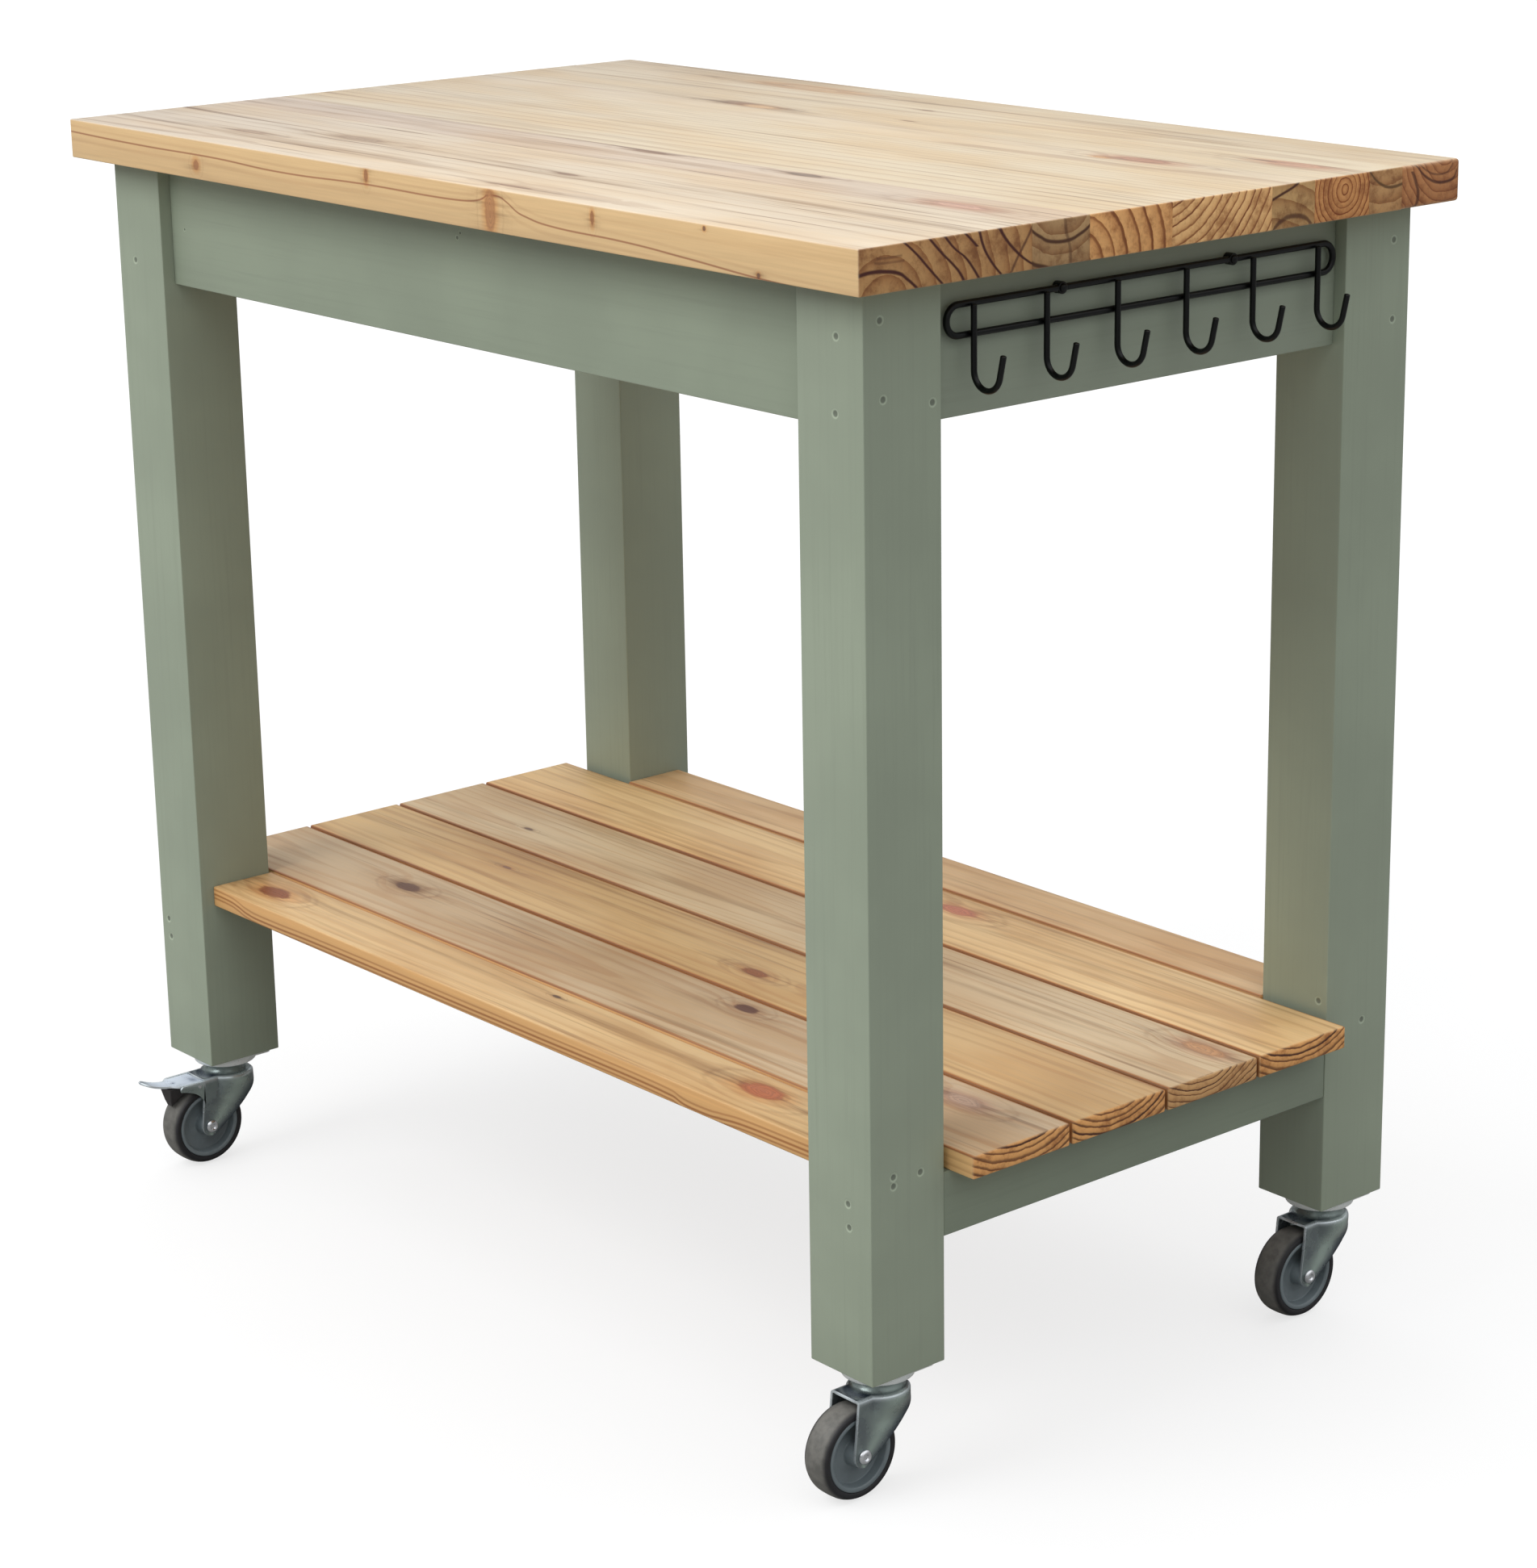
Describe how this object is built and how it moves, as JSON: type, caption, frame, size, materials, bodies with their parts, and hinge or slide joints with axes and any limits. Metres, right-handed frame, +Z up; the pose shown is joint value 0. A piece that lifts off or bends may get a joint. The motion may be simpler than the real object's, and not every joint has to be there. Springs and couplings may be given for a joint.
{
  "type": "kitchen island trolley",
  "caption": "Rectangular kitchen island trolley: pine worktop on a painted open timber frame, slatted lower shelf, wire hook rack on one end, swivel castors.",
  "frame": {"origin": "on the floor under the middle of the worktop", "axes": "+X along the long side towards the end with the hook rack, +Y towards the back long side, +Z up out of the worktop"},
  "size_m": [1.0052, 0.657, 0.9311],
  "materials": {
    "worktop_pine": "oiled planed pine",
    "shelf_pine": "lacquered planed pine",
    "sage_paint": "satin sage green paint on timber",
    "black_wire": "black powder coat",
    "zinc": "blue zinc plating",
    "bright_steel": "bright zinc plating",
    "grey_rubber": "matt grey rubber",
    "grey_nylon": "moulded grey nylon",
    "pad_rubber": "dark moulded rubber"
  },
  "bodies": {
    "frame": {"worktop_board_1": "worktop_pine", "worktop_board_2": "worktop_pine", "worktop_board_3": "worktop_pine", "worktop_board_4": "worktop_pine", "worktop_board_5": "worktop_pine", "worktop_board_6": "worktop_pine", "worktop_board_7": "worktop_pine", "worktop_board_8": "worktop_pine", "leg_front_left": "sage_paint", "leg_front_right": "sage_paint", "leg_back_left": "sage_paint", "leg_back_right": "sage_paint", "apron_front": "sage_paint", "apron_back": "sage_paint", "apron_left": "sage_paint", "apron_right": "sage_paint", "lower_rail_left": "sage_paint", "lower_rail_right": "sage_paint", "shelf_board_1": "shelf_pine", "shelf_board_2": "shelf_pine", "shelf_board_3": "shelf_pine", "shelf_board_4": "shelf_pine", "shelf_board_5": "shelf_pine", "shelf_board_6": "shelf_pine", "hook_rail_loop": "black_wire", "rail_hook_1": "black_wire", "rail_hook_2": "black_wire", "rail_hook_3": "black_wire", "rail_hook_4": "black_wire", "rail_hook_5": "black_wire", "rail_hook_6": "black_wire", "rail_screw_1": "black_wire", "rail_screw_2": "black_wire", "castor_front_right_plate": "bright_steel", "castor_back_right_plate": "bright_steel", "castor_front_left_plate": "bright_steel", "castor_back_left_plate": "bright_steel"},
    "castor_front_right_swivel": {"castor_front_right_fork": "zinc", "castor_front_right_axle": "bright_steel"},
    "castor_front_right_wheel": {"castor_front_right_hub": "grey_nylon", "castor_front_right_tyre": "grey_rubber"},
    "castor_back_right_swivel": {"castor_back_right_fork": "zinc", "castor_back_right_axle": "bright_steel"},
    "castor_back_right_wheel": {"castor_back_right_hub": "grey_nylon", "castor_back_right_tyre": "grey_rubber"},
    "castor_front_left_swivel": {"castor_front_left_fork": "zinc", "castor_front_left_axle": "bright_steel", "castor_front_left_brake_pin": "bright_steel"},
    "castor_front_left_wheel": {"castor_front_left_hub": "grey_nylon", "castor_front_left_tyre": "grey_rubber"},
    "castor_front_left_brake": {"castor_front_left_brake_pedal": "zinc", "castor_front_left_brake_pad": "pad_rubber"},
    "castor_back_left_swivel": {"castor_back_left_fork": "zinc", "castor_back_left_axle": "bright_steel", "castor_back_left_brake_pin": "bright_steel"},
    "castor_back_left_wheel": {"castor_back_left_hub": "grey_nylon", "castor_back_left_tyre": "grey_rubber"},
    "castor_back_left_brake": {"castor_back_left_brake_pedal": "zinc", "castor_back_left_brake_pad": "pad_rubber"}
  },
  "joints": [
    {"name": "castor_front_right_swivel_turn", "type": "hinge", "parent": "frame", "child": "castor_front_right_swivel", "pos_m": [0.441, -0.2395, 0.1], "axis": [0, 0, 1], "continuous": true},
    {"name": "castor_front_right_wheel_spin", "type": "hinge", "parent": "castor_front_right_swivel", "child": "castor_front_right_wheel", "pos_m": [0.441, -0.2675, 0.0365], "axis": [1, 0, 0], "continuous": true},
    {"name": "castor_back_right_swivel_turn", "type": "hinge", "parent": "frame", "child": "castor_back_right_swivel", "pos_m": [0.441, 0.2395, 0.1], "axis": [0, 0, 1], "continuous": true},
    {"name": "castor_back_right_wheel_spin", "type": "hinge", "parent": "castor_back_right_swivel", "child": "castor_back_right_wheel", "pos_m": [0.441, 0.2115, 0.0365], "axis": [1, 0, 0], "continuous": true},
    {"name": "castor_front_left_swivel_turn", "type": "hinge", "parent": "frame", "child": "castor_front_left_swivel", "pos_m": [-0.441, -0.2395, 0.1], "axis": [0, 0, 1], "continuous": true},
    {"name": "castor_front_left_wheel_spin", "type": "hinge", "parent": "castor_front_left_swivel", "child": "castor_front_left_wheel", "pos_m": [-0.441, -0.2675, 0.0365], "axis": [1, 0, 0], "continuous": true},
    {"name": "castor_front_left_brake_press", "type": "hinge", "parent": "castor_front_left_swivel", "child": "castor_front_left_brake", "pos_m": [-0.441, -0.2775, 0.0766], "axis": [1, 0, 0], "range_deg": [0, 6]},
    {"name": "castor_back_left_swivel_turn", "type": "hinge", "parent": "frame", "child": "castor_back_left_swivel", "pos_m": [-0.441, 0.2395, 0.1], "axis": [0, 0, 1], "continuous": true},
    {"name": "castor_back_left_wheel_spin", "type": "hinge", "parent": "castor_back_left_swivel", "child": "castor_back_left_wheel", "pos_m": [-0.441, 0.2675, 0.0365], "axis": [-1, 0, 0], "continuous": true},
    {"name": "castor_back_left_brake_press", "type": "hinge", "parent": "castor_back_left_swivel", "child": "castor_back_left_brake", "pos_m": [-0.441, 0.2775, 0.0766], "axis": [-1, 0, 0], "range_deg": [0, 6]}
  ]
}
